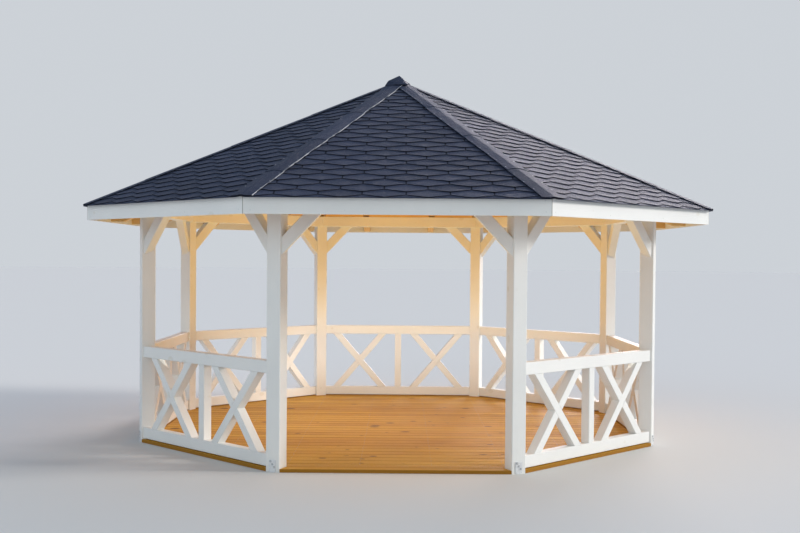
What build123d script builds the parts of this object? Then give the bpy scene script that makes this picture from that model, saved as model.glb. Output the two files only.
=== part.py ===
from build123d import *
import math
import os

# Octagonal timber garden gazebo, millimetres, +Z up.
# Origin: plan centre of the octagon at ground level. The open entrance bay faces -Y.
# Eight square posts stand on a circle, each turned so that one face looks outwards.
# The bays are numbered from the entrance (azimuth -90) counter-clockwise seen from above.

# ---- driving dimensions -------------------------------------------------
N = 8
POST_R = 2440.0          # circle through the post centres
POST = 120.0             # square post
BEAM_W = 120.0           # ring beam, across
BEAM_H = 120.0           # ring beam, tall
BEAM_Z = 2040.0          # underside of the ring beam = top of the posts

ROOF_TOP = 3413.0        # apex of the shingled surface, before the ridge caps
SLOPE = 0.4656           # fall per unit run, measured across a facet (25.0 degrees)
SHINGLE = 12.0           # shingle build-up, measured vertically
BOARDING = 21.0          # roof boarding, measured vertically
RAFTER_V = 172.0         # rafter depth, measured vertically
RAFTER_W = 70.0
HIP_W = 70.0
JACK_OFF = 390.0         # jack rafters each side of a facet's middle
TAIL_Z = 1997.0          # level cut of the rafter tails

FASCIA_A = 2741.0        # outer face of the fascia, from the centre
FASCIA_T = 20.0
FASCIA_Z0 = 1986.0
DRIP = 47.0              # shingles stand out past the fascia

HUB_A = 92.0             # king block, across flats / 2
HUB_Z0 = 3124.0

PANEL_OFF = 22.0         # railings and braces stand in the middle of the turned post face,
                         # which lies this far outside the line of the post centres
RAIL_D = 80.0            # depth of the rails, stub posts, arms and braces
TOP_Z0, TOP_Z1 = 763.0, 863.0
LOW_Z0, LOW_Z1 = 36.0, 134.0
MID_W = 75.0             # stub post in the middle of a panel
ARM_W = 70.0             # diagonal arms, on the face
ARM_RUN = 268.0          # half the run of an arm's middle line between the rails

BRACE_LEG = 309.0        # lower edge of a knee brace, along the beam
BRACE_FALL = 328.0       # and down the post
BRACE_V = 134.0          # width of the brace along the beam

DECK_T = 28.0
DECK_OVER = 78.0         # deck edge beyond the line of the post centres
ANCHOR_W, ANCHOR_H, ANCHOR_T = 60.0, 95.0, 5.0

ARRIS = 4.0              # planed timber has its long edges eased
GAP = 0.5                # between like pieces that share a node
HAIR = 0.3

# ---- derived ------------------------------------------------------------
HALF = math.pi / N
POST_A = POST_R * math.cos(HALF)            # line of the post centres
SIDE = 2 * POST_R * math.sin(HALF)          # centre to centre
TAN = math.tan(HALF)
PANEL_A = POST_A + PANEL_OFF                # middle plane of the railings and braces
HIP_SLOPE = SLOPE * math.cos(HALF)
Z_BOARD = ROOF_TOP - SHINGLE                # apex of the boarding's top
Z_RAFT = Z_BOARD - BOARDING                 # apex of the rafters' top plane

BAYS = [("front", -90.0), ("front_right", -45.0), ("right", 0.0), ("back_right", 45.0),
        ("back", 90.0), ("back_left", 135.0), ("left", 180.0), ("front_left", 225.0)]
POSTS = [("front_left", -112.5), ("front_right", -67.5), ("right_front", -22.5),
         ("right_back", 22.5), ("back_right", 67.5), ("back_left", 112.5),
         ("left_back", 157.5), ("left_front", 202.5)]


# ---- helpers ------------------------------------------------------------
def turned(shape, deg):
    """A piece drawn along +X, turned to its azimuth."""
    return shape.rotate(Axis.Z, deg)


def bar(pts, t0, t1):
    """Outline in the (outwards, up) plane, drawn along +X, thick from y=t0 to y=t1."""
    face = Face(Wire.make_polygon([Vector(a, t0, z) for a, z in pts], close=True))
    return Solid.extrude(face, Vector(0, t1 - t0, 0))


def panel(pts, a0, a1):
    """Outline in the (sideways, up) plane, thick outwards from x=a0 to x=a1."""
    face = Face(Wire.make_polygon([Vector(a0, s, z) for s, z in pts], close=True))
    return Solid.extrude(face, Vector(a1 - a0, 0, 0))


def wedge(inset):
    """The eighth of the plan between two hips, each side pulled in by inset."""
    far = 3600.0
    a0 = inset / math.sin(HALF)
    pts = [(a0, 0.0), (far, (far - a0) * TAN), (far, -(far - a0) * TAN)]
    face = Face(Wire.make_polygon([Vector(x, y, -10) for x, y in pts], close=True))
    return Solid.extrude(face, Vector(0, 0, 4200))


def first(shape):
    """The one solid of a boolean's result."""
    s = shape.solids()
    s = sorted(s, key=lambda q: -q.volume)
    return s[0]


def ease(solid, longer, size=ARRIS):
    """Take a small bevel off every edge longer than the given length."""
    return first(solid.chamfer(size, None, [e for e in solid.edges() if e.length > longer]))


def eased(pts, size=ARRIS):
    """An outline with its corners cut back by the arris."""
    out = []
    for i, p in enumerate(pts):
        for q in (pts[i - 1], pts[(i + 1) % len(pts)]):
            d = math.hypot(q[0] - p[0], q[1] - p[1])
            out.append((p[0] + (q[0] - p[0]) * size / d, p[1] + (q[1] - p[1]) * size / d))
    return out


def mitred(pts, inset):
    """A straight bar of one facet, mitred at both hips."""
    return first(bar(pts, -1600.0, 1600.0) & wedge(inset))


def solid_post(deg):
    h = POST / 2
    plan = eased([(POST_R - h, -h), (POST_R + h, -h), (POST_R + h, h), (POST_R - h, h)])
    face = Face(Wire.make_polygon([Vector(x, y, 0) for x, y in plan], close=True))
    return turned(Solid.extrude(face, Vector(0, 0, BEAM_Z)), deg)


def under(zapex, a):
    return zapex - SLOPE * a


OUT = {}


def put(name, solids):
    OUT[name] = [s for s in solids]


# ---- posts --------------------------------------------------------------
for name, deg in POSTS:
    put("post_" + name, [solid_post(deg)])

# ---- ring beams, mitred over the posts ----------------------------------
beam_pts = [(POST_A - BEAM_W / 2, BEAM_Z), (POST_A + BEAM_W / 2, BEAM_Z),
            (POST_A + BEAM_W / 2, BEAM_Z + BEAM_H), (POST_A - BEAM_W / 2, BEAM_Z + BEAM_H)]
beam = mitred(eased(beam_pts), GAP / 2)
for name, deg in BAYS:
    put("ring_beam_" + name, [turned(beam, deg)])

# ---- knee braces, two to a bay ------------------------------------------
# The brace's foot follows the turned face of the post.
# everything on the far side of the post's turned face, at both ends of a bay
past_a = turned(bar([(POST_R - 300, -50), (POST_R + 300, -50), (POST_R + 300, BEAM_Z + 50), (POST_R - 300, BEAM_Z + 50)],
                    -POST / 2, 400), math.degrees(HALF))
past_b = past_a.mirror(Plane.XZ)
face_s = SIDE / 2 - POST / 2 / math.cos(HALF)       # post face on the bay's middle line
z_top = BEAM_Z
ext = 60.0
rise = BRACE_FALL / BRACE_LEG                        # a little steeper than 45 degrees
outline = [(face_s + ext, z_top - (BRACE_LEG + ext) * rise), (face_s - BRACE_LEG, z_top),
           (face_s - BRACE_LEG + BRACE_V, z_top), (face_s + ext, z_top - (BRACE_LEG - BRACE_V + ext) * rise)]
brace = ease(panel(outline, PANEL_A - RAIL_D / 2, PANEL_A + RAIL_D / 2), 200.0)
brace = first(brace - past_a)
brace2 = brace.mirror(Plane.XZ)
put("knee_braces", [turned(s, deg) for _, deg in BAYS for s in (brace, brace2)])

# ---- railings in seven bays ----------------------------------------------
def rail(z0, z1):
    s = SIDE / 2
    a0, a1 = PANEL_A - RAIL_D / 2, PANEL_A + RAIL_D / 2
    r = bar(eased([(a0, z0), (a1, z0), (a1, z1), (a0, z1)]), -s, s)
    return first(first(r - past_a) - past_b)


def clip(poly, keep):
    """Cut a convex outline by the half plane keep(p) >= 0."""
    out = []
    for i, p in enumerate(poly):
        q = poly[(i + 1) % len(poly)]
        kp, kq = keep(p), keep(q)
        if kp >= 0:
            out.append(p)
        if (kp > 0 > kq) or (kp < 0 < kq):
            t = kp / (kp - kq)
            out.append((p[0] + (q[0] - p[0]) * t, p[1] + (q[1] - p[1]) * t))
    return out


def arms(cs, z0, z1):
    """A diagonal cross about sideways position cs: one arm whole, the other in two halves."""
    cz = (z0 + z1) / 2
    L = math.hypot(2 * ARM_RUN, z1 - z0)
    ux, uz = 2 * ARM_RUN / L, (z1 - z0) / L
    box = [(cs - 900, z0), (cs + 900, z0), (cs + 900, z1), (cs - 900, z1)]

    def off(n, d):
        return lambda p: d - ((p[0] - cs) * n[0] + (p[1] - cz) * n[1])
    n1 = (-uz, ux)
    whole = clip(clip(box, off(n1, ARM_W / 2)), off((-n1[0], -n1[1]), ARM_W / 2))
    n2 = (uz, ux)
    other = clip(clip(box, off(n2, ARM_W / 2)), off((-n2[0], -n2[1]), ARM_W / 2))
    up = clip(other, off((-n1[0], -n1[1]), -(ARM_W / 2 + HAIR)))
    dn = clip(other, off(n1, -(ARM_W / 2 + HAIR)))
    a0, a1 = PANEL_A - RAIL_D / 2, PANEL_A + RAIL_D / 2
    return [ease(panel(p, a0, a1), 250.0, 3.0) for p in (whole, up, dn)]


arm_z0, arm_z1 = LOW_Z1 + HAIR, TOP_Z0 - HAIR
mid = ease(panel([(-MID_W / 2, arm_z0), (MID_W / 2, arm_z0), (MID_W / 2, arm_z1), (-MID_W / 2, arm_z1)],
                 PANEL_A - RAIL_D / 2, PANEL_A + RAIL_D / 2), 500.0)
# each cross stands in the middle of its opening, between the stub post and the post's face
face_mid = SIDE / 2 - POST / 2 / math.cos(HALF) + PANEL_OFF * TAN
panel_solids = [rail(LOW_Z0, LOW_Z1), rail(TOP_Z0, TOP_Z1), mid]
right_x = arms((MID_W / 2 + face_mid) / 2, arm_z0, arm_z1)
panel_solids += right_x + [a.mirror(Plane.XZ) for a in right_x]
for name, deg in BAYS[1:]:
    put("railing_" + name, [turned(s, deg) for s in panel_solids])

# ---- roof ----------------------------------------------------------------
AE = FASCIA_A + DRIP
shingle_pts = [(0, ROOF_TOP), (AE, under(ROOF_TOP, AE)), (AE, under(Z_BOARD, AE)), (0, Z_BOARD)]
shingles = mitred(shingle_pts, GAP / 2)
for name, deg in BAYS:
    put("shingles_" + name, [turned(shingles, deg)])

AI = FASCIA_A - FASCIA_T
board_pts = [(0, Z_BOARD), (AI, under(Z_BOARD, AI)), (AI, under(Z_RAFT, AI)), (0, Z_RAFT)]
boarding = mitred(board_pts, GAP / 2)
put("roof_boarding", [turned(boarding, deg) for _, deg in BAYS])

fascia_pts = [(AI, FASCIA_Z0), (FASCIA_A, FASCIA_Z0), (FASCIA_A, under(Z_BOARD, FASCIA_A)), (AI, under(Z_BOARD, AI))]
fascia = mitred(fascia_pts, GAP / 2)
put("fascia_boards", [turned(fascia, deg) for _, deg in BAYS])

# hip rafters: five-sided section, drawn outwards and down along the hip
DROP = SLOPE * math.sin(HALF)                # how fast a facet falls away beside its hip
hip_out = (FASCIA_A - FASCIA_T) / math.cos(HALF)
h = HIP_W / 2
e = ARRIS
sect = [(-h, -DROP * h), (0, 0), (h, -DROP * h), (h, -RAFTER_V + e), (h - e, -RAFTER_V), (-h + e, -RAFTER_V), (-h, -RAFTER_V + e)]
r0 = HUB_A
face = Face(Wire.make_polygon([Vector(r0, t, Z_RAFT - HIP_SLOPE * r0 + z) for t, z in sect], close=True))
run = 3200.0
hip = Solid.extrude(face, Vector(run, 0, -HIP_SLOPE * run))
# end at the fascia's inner faces, which meet here in a corner
corner = turned(bar([(0, 0), (AI, 0), (AI, 4000), (0, 4000)], -1600, 1600), math.degrees(HALF))
corner2 = turned(bar([(0, 0), (AI, 0), (AI, 4000), (0, 4000)], -1600, 1600), -math.degrees(HALF))
hip = first(first(hip & corner) & corner2)
tail_cut = bar([(0, 0), (4000, 0), (4000, TAIL_Z), (0, TAIL_Z)], -200, 200)
hip = first(hip - tail_cut)
# seat on the two beams that meet over the post
seat_a = turned(bar([(POST_A - BEAM_W / 2, 1900), (POST_A + BEAM_W / 2, 1900),
                     (POST_A + BEAM_W / 2, BEAM_Z + BEAM_H), (POST_A - BEAM_W / 2, BEAM_Z + BEAM_H)], -1600, 1600), math.degrees(HALF))
seat_b = seat_a.mirror(Plane.XZ)
hip = first(first(hip - seat_a) - seat_b)
put("hip_rafters", [turned(hip, deg) for _, deg in POSTS])

# jack rafters: two to a facet, from the hip out to the fascia
j0, j1 = JACK_OFF - RAFTER_W / 2, JACK_OFF + RAFTER_W / 2
sect = [(j0, 0), (j1, 0), (j1, -RAFTER_V + e), (j1 - e, -RAFTER_V), (j0 + e, -RAFTER_V), (j0, -RAFTER_V + e)]
face = Face(Wire.make_polygon([Vector(200, t, Z_RAFT - SLOPE * 200 + z) for t, z in sect], close=True))
jack = Solid.extrude(face, Vector(2900, 0, -SLOPE * 2900))
jack = first(jack & wedge(HIP_W / 2))
jack = first(jack & bar([(0, 0), (AI, 0), (AI, 4000), (0, 4000)], -1600, 1600))
jack = first(jack - bar([(0, 0), (4000, 0), (4000, TAIL_Z), (0, TAIL_Z)], -1600, 1600))
seat = bar([(POST_A - BEAM_W / 2, 1900), (POST_A + BEAM_W / 2, 1900),
            (POST_A + BEAM_W / 2, BEAM_Z + BEAM_H), (POST_A - BEAM_W / 2, BEAM_Z + BEAM_H)], -1600, 1600)
jack = first(jack - seat)
jack2 = jack.mirror(Plane.XZ)
put("jack_rafters", [turned(s, deg) for _, deg in BAYS for s in (jack, jack2)])

# boards on the ring beam that close the eaves between the rafters
BLK_T = 30.0
b0, b1 = POST_A - BEAM_W / 2, POST_A - BEAM_W / 2 + BLK_T
blk_pts = [(b0, BEAM_Z + BEAM_H), (b1, BEAM_Z + BEAM_H), (b1, under(Z_RAFT, b1)), (b0, under(Z_RAFT, b0))]
e = RAFTER_W / 2
blk_mid = bar(blk_pts, -(JACK_OFF - e), JACK_OFF - e)
blk_end = first(bar(blk_pts, JACK_OFF + e, 1600.0) & wedge(HIP_W / 2))
put("eaves_boards", [turned(s, deg) for _, deg in BAYS for s in (blk_mid, blk_end, blk_end.mirror(Plane.XZ))])

# king block, where the hip rafters meet: its faces look at the posts
hub_pts = [Vector(HUB_A / math.cos(HALF) * math.cos(k * 2 * HALF), HUB_A / math.cos(HALF) * math.sin(k * 2 * HALF), HUB_Z0)
           for k in range(N)]
hub_top = under(Z_RAFT, HUB_A / math.cos(HALF)) - 1.0
hub = Solid.extrude(Face(Wire.make_polygon(hub_pts, close=True)), Vector(0, 0, hub_top - HUB_Z0))
low_edges = [q for q in hub.edges() if abs(q.center().Z - HUB_Z0) < 0.01]
hub = first(hub.chamfer(14.0, None, low_edges))
put("king_block", [hub])

# folded strips over the hips
CAP_W = 88.0             # each leg, sideways from the hip
CAP_V = 6.0
cap_r0 = 60.0
cap_out = AE / math.cos(HALF)
zc = ROOF_TOP - HIP_SLOPE * cap_r0
sect = [(-CAP_W, -DROP * CAP_W), (0, 0), (CAP_W, -DROP * CAP_W),
        (CAP_W, -DROP * CAP_W + CAP_V), (0, CAP_V), (-CAP_W, -DROP * CAP_W + CAP_V)]
face = Face(Wire.make_polygon([Vector(cap_r0, t, zc + z) for t, z in sect], close=True))
cap = Solid.extrude(face, Vector(run, 0, -HIP_SLOPE * run))
edge = [turned(bar([(0, 0), (AE, 0), (AE, 4000), (0, 4000)], -1600, 1600), s * math.degrees(HALF)) for s in (1, -1)]
cap = first(first(cap & edge[0]) & edge[1])
# neighbouring strips meet on the middle line of each facet near the top
lim = turned(wedge(GAP / 2), 0.0)
cap = first(cap & lim)
put("hip_caps", [turned(cap, deg) for _, deg in POSTS])


# small folded cap over the point: a pyramid whose folds lie over the hips
def pyramid(zapex, rim_rz, zbase):
    top = Vector(0, 0, zapex)
    rim = [Vector(r * math.cos(math.radians(d)), r * math.sin(math.radians(d)), z) for (r, z), (_, d) in zip(rim_rz, POSTS)]
    low = [Vector(p.X, p.Y, zbase) for p in rim]
    faces = [Face(Wire.make_polygon([top, rim[i], rim[(i + 1) % N]], close=True)) for i in range(N)]
    faces += [Face(Wire.make_polygon([rim[i], low[i], low[(i + 1) % N], rim[(i + 1) % N]], close=True)) for i in range(N)]
    faces.append(Face(Wire.make_polygon(low, close=True)))
    return Solid(Shell(faces))


APEX_TOP = 3466.0
# corners of its rim, (out from the middle, height), in the order of the posts: folded by hand,
# so it is longest over the front right hip and short on the left and the right
APEX_RIM = [(170, 3358), (212, 3353), (120, 3383), (125, 3381), (170, 3360), (175, 3358), (140, 3389), (132, 3393)]
strip_top = ROOF_TOP + CAP_V
under_cap = pyramid(strip_top, [(280.0, strip_top - HIP_SLOPE * 280.0)] * N, 3180.0)
apex = pyramid(APEX_TOP, APEX_RIM, 3318.0)
apex = first(apex - under_cap)
put("apex_cap", [apex])

# ---- deck, cut round the posts --------------------------------------------
DA = POST_A + DECK_OVER
deck_pts = [Vector(DA / math.cos(HALF) * math.cos(math.radians(d)), DA / math.cos(HALF) * math.sin(math.radians(d)), 0)
            for _, d in POSTS]
deck = Solid.extrude(Face(Wire.make_polygon(deck_pts, close=True)), Vector(0, 0, DECK_T))
for _, deg in POSTS:
    h = POST / 2 + 2.0
    far = POST_R + h + 200
    deck = first(deck - turned(bar([(POST_R - h, -10), (far, -10), (far, 60), (POST_R - h, 60)], -h, h), deg))
put("deck", [deck])

# ---- foot plates on the posts' outer faces ---------------------------------
w = ANCHOR_W / 2
c = 14.0
plate_pts = [(-w, c), (-w + c, 0), (w - c, 0), (w, c), (w, ANCHOR_H), (-w, ANCHOR_H)]
plate = panel(plate_pts, POST_R + POST / 2, POST_R + POST / 2 + ANCHOR_T)
put("foot_plates", [turned(plate, deg) for _, deg in POSTS])

# ---- write ------------------------------------------------------------------
os.makedirs("parts", exist_ok=True)
for name, solids in OUT.items():
    shape = solids[0] if len(solids) == 1 else Compound(children=solids)
    shape.label = name
    export_step(shape, "parts/" + name + ".step")
print(len(OUT), "nodes")
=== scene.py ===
import math
import random

import bmesh
import bpy
import numpy as np
from mathutils import Matrix, Vector


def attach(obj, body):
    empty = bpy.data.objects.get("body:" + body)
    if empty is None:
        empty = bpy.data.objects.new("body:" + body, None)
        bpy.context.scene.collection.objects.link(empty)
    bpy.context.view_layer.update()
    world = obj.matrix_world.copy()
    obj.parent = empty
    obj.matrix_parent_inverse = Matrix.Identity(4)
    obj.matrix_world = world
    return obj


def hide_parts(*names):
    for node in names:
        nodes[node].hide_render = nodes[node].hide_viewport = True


# Octagonal timber garden gazebo, metres, +Z up, entrance facing -Y.
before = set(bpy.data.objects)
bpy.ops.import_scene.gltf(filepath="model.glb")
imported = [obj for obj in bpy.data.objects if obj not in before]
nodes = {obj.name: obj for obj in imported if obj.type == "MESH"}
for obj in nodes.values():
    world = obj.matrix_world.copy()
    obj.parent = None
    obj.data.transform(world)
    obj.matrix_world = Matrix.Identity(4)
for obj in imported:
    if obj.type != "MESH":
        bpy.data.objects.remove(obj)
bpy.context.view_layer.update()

# ---- dimensions of the frame ----------------------------------------------
N = 8
HALF = math.pi / N
COS, SIN, TAN = math.cos(HALF), math.sin(HALF), math.tan(HALF)
POST_R, POST = 2.440, 0.120
POST_A = POST_R * COS
BEAM_Z, BEAM_H = 2.040, 0.120
ROOF_TOP, SLOPE = 3.413, 0.4656
HIP_SLOPE = SLOPE * COS
SHINGLE, BOARDING = 0.012, 0.021
Z_BOARD = ROOF_TOP - SHINGLE
Z_RAFT = Z_BOARD - BOARDING
AE = 2.788                                   # eave edge of the shingles
AI = 2.721                                   # inner face of the fascia
FASCIA_A, FASCIA_Z0 = 2.741, 1.986
PHI = math.atan(SLOPE)
CPHI, SPHI = math.cos(PHI), math.sin(PHI)
PANEL_A = POST_A + 0.022
SIDE = 2 * POST_R * SIN
DECK_A, DECK_T = POST_A + 0.078, 0.028
CAP_W, CAP_V = 0.088, 0.006
APEX_TOP = 3.466

BAYS = [("front", -90.0), ("front_right", -45.0), ("right", 0.0), ("back_right", 45.0),
        ("back", 90.0), ("back_left", 135.0), ("left", 180.0), ("front_left", 225.0)]
POSTS = [("front_left", -112.5), ("front_right", -67.5), ("right_front", -22.5),
         ("right_back", 22.5), ("back_right", 67.5), ("back_left", 112.5),
         ("left_back", 157.5), ("left_front", 202.5)]
rng = random.Random(11)


# ---- meshes ------------------------------------------------------------------
class Pile:
    """Many small closed pieces joined in one mesh, with a grain coordinate and a tone for each piece."""

    def __init__(self):
        self.v, self.f, self.m, self.g, self.t = [], [], [], [], []

    def add(self, verts, faces, grain=None, tone=0.5, mat=0, mats=None):
        k = len(self.v)
        self.v += [tuple(p) for p in verts]
        self.f += [[i + k for i in q] for q in faces]
        self.m += list(mats) if mats is not None else [mat] * len(faces)
        self.g += [tuple(p) for p in (grain if grain is not None else verts)]
        self.t += [tone] * len(verts)

    def mesh(self, name):
        me = bpy.data.meshes.new(name)
        me.from_pydata(self.v, [], self.f)
        a = me.attributes.new("grain", "FLOAT_VECTOR", "POINT")
        a.data.foreach_set("vector", np.array(self.g, np.float32).ravel())
        b = me.attributes.new("tone", "FLOAT", "POINT")
        b.data.foreach_set("value", np.array(self.t, np.float32))
        me.polygons.foreach_set("material_index", np.array(self.m, np.int32))
        me.update()
        return me

    def make(self, name, materials, stands_for=(), slot=None, cut=None):
        me = self.mesh(name)
        if cut is not None:
            me = cut(me)
        return place(name, me, materials, stands_for)


def place(name, me, materials, stands_for=()):
    ob = bpy.data.objects.new(name, me)
    bpy.context.scene.collection.objects.link(ob)
    for m in materials:
        me.materials.append(m)
    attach(ob, "root")
    if stands_for:
        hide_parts(*stands_for)
    return ob


def area(poly):
    return 0.5 * sum(poly[i - 1][0] * poly[i][1] - poly[i][0] * poly[i - 1][1] for i in range(len(poly)))


def clip(poly, a, b, c):
    """The part of a convex outline where a*x + b*y <= c."""
    out = []
    for i, p in enumerate(poly):
        q = poly[(i + 1) % len(poly)]
        dp, dq = a * p[0] + b * p[1] - c, a * q[0] + b * q[1] - c
        if dp <= 0:
            out.append(p)
        if (dp < 0 < dq) or (dq < 0 < dp):
            t = dp / (dp - dq)
            out.append((p[0] + (q[0] - p[0]) * t, p[1] + (q[1] - p[1]) * t))
    clean = []
    for p in out:
        if not clean or math.hypot(p[0] - clean[-1][0], p[1] - clean[-1][1]) > 1e-5:
            clean.append(p)
    if len(clean) > 1 and math.hypot(clean[0][0] - clean[-1][0], clean[0][1] - clean[-1][1]) < 1e-5:
        clean.pop()
    return clean


def inset(poly, d):
    """A counter-clockwise convex outline pulled in by d, with as many corners."""
    n, out = len(poly), []
    for i in range(n):
        p0, p1, p2 = poly[i - 1], poly[i], poly[(i + 1) % n]
        l1, l2 = math.dist(p0, p1), math.dist(p1, p2)
        n1 = (-(p1[1] - p0[1]) / l1, (p1[0] - p0[0]) / l1)
        n2 = (-(p2[1] - p1[1]) / l2, (p2[0] - p1[0]) / l2)
        k = 1 + n1[0] * n2[0] + n1[1] * n2[1]
        if k < 0.25:
            k = 0.25
        out.append((p1[0] + d * (n1[0] + n2[0]) / k, p1[1] + d * (n1[1] + n2[1]) / k))
    return out


def prism(pile, poly, n0, n1, put, top=0.0, low=0.0, grain=None, tone=0.5, mat=0, side=None, steps=2):
    """A board of convex outline poly between heights n0 and n1, its upper and lower edges rounded by top and low."""
    if area(poly) < 0:
        poly = poly[::-1]
    least = min(math.dist(poly[i - 1], poly[i]) for i in range(len(poly)))
    if area(poly) < 1e-5:
        return
    if least < 3 * max(top, low):
        top, low = min(top, least / 4), min(low, least / 4)
    rings = []
    if low > 1e-6:
        for k in range(steps + 1):
            a = math.pi / 2 * k / steps
            rings.append((low * (1 - math.sin(a)), n0 + low * (1 - math.cos(a))))
    else:
        rings.append((0.0, n0))
    if top > 1e-6:
        for k in range(steps + 1):
            a = math.pi / 2 * k / steps
            rings.append((top * (1 - math.cos(a)), n1 - top * (1 - math.sin(a))))
    else:
        rings.append((0.0, n1))
    verts, m = [], len(poly)
    for d, h in rings:
        for p in (inset(poly, d) if d > 1e-7 else poly):
            verts.append((p[0], p[1], h))
    faces = [list(range(m))[::-1], list(range((len(rings) - 1) * m, len(rings) * m))]
    for r in range(len(rings) - 1):
        for i in range(m):
            j = (i + 1) % m
            faces.append([r * m + i, r * m + j, (r + 1) * m + j, (r + 1) * m + i])
    mats = [mat, mat] + [mat if side is None else side] * (len(faces) - 2)
    pile.add([put(*v) for v in verts], faces, [grain(*v) for v in verts] if grain else None, tone, mats=mats)


def lathe(pile, profile, put, sides=12, mat=0, tone=0.5, turn=0.0):
    """A turned head: profile is (radius, height) from the foot to the middle of the top."""
    verts, faces = [], []
    for r, h in profile:
        for k in range(sides):
            a = 2 * math.pi * k / sides + turn
            verts.append((r * math.cos(a), r * math.sin(a), h))
    m = len(profile)
    for q in range(m - 1):
        for k in range(sides):
            j = (k + 1) % sides
            faces.append([q * sides + k, q * sides + j, (q + 1) * sides + j, (q + 1) * sides + k])
    faces.append([(m - 1) * sides + k for k in range(sides)])
    faces.append([k for k in range(sides)][::-1])
    pile.add([put(*v) for v in verts], faces, verts, tone, mat)


def axes(az):
    a = math.radians(az)
    return Vector((math.cos(a), math.sin(a), 0)), Vector((-math.sin(a), math.cos(a), 0))


def facet(az, z_apex, a0=AE):
    """Maps (sideways, up the slope from a0, out from the plane) of one facet to the row frame."""
    e, p = axes(az)
    up = -e * CPHI + Vector((0, 0, SPHI))
    nrm = e * SPHI + Vector((0, 0, CPHI))
    o = e * a0 + Vector((0, 0, z_apex - SLOPE * a0))

    def put(u, s, n):
        return o + p * u + up * s + nrm * n
    return put


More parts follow.
